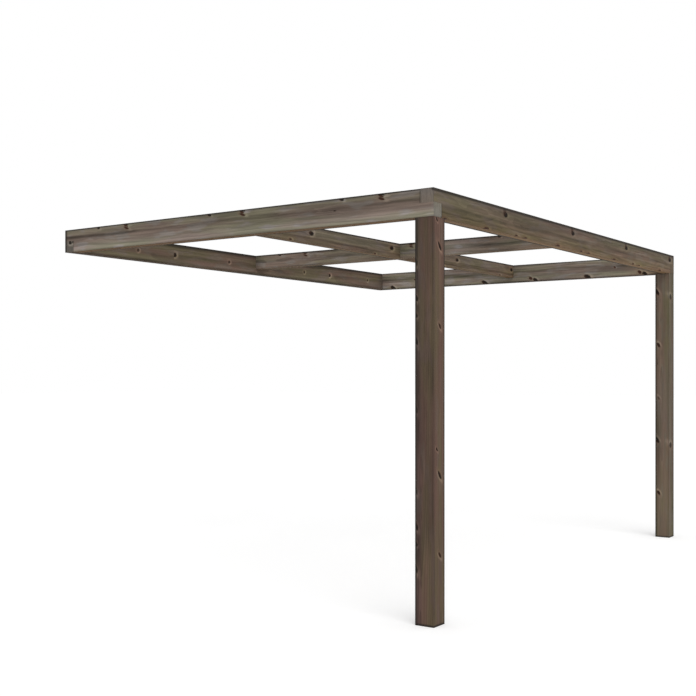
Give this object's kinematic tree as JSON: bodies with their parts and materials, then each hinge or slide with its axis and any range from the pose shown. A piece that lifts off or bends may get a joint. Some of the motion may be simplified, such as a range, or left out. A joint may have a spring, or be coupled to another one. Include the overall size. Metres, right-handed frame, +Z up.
{
  "type": "wall pergola frame",
  "caption": "Open timber pergola frame for a house wall: half-lapped beams, a centre rafter with noggings, and square posts under the front corners.",
  "frame": {"origin": "centre of the wall beam's back face, on the plane of the wall", "axes": "+X along the wall, +Y into the wall, +Z up; the front is at -Y and the ground at z = -2.3215 m"},
  "size_m": [4.05, 3.01, 2.4],
  "materials": {
    "outer_beam_wood": "planed softwood with a thin grey-brown stain, weathered, dull",
    "centre_timber_wood": "planed softwood with a thin grey-brown stain, weathered, dull",
    "post_wood": "planed softwood with a thin grey-brown stain, weathered, dull"
  },
  "bodies": {
    "root": {"wall_beam": "outer_beam_wood", "left_side_beam": "outer_beam_wood", "right_side_beam": "outer_beam_wood", "front_beam": "outer_beam_wood", "centre_rafter": "centre_timber_wood", "left_nogging": "centre_timber_wood", "right_nogging": "centre_timber_wood", "left_post": "post_wood", "right_post": "post_wood"}
  },
  "joints": []
}
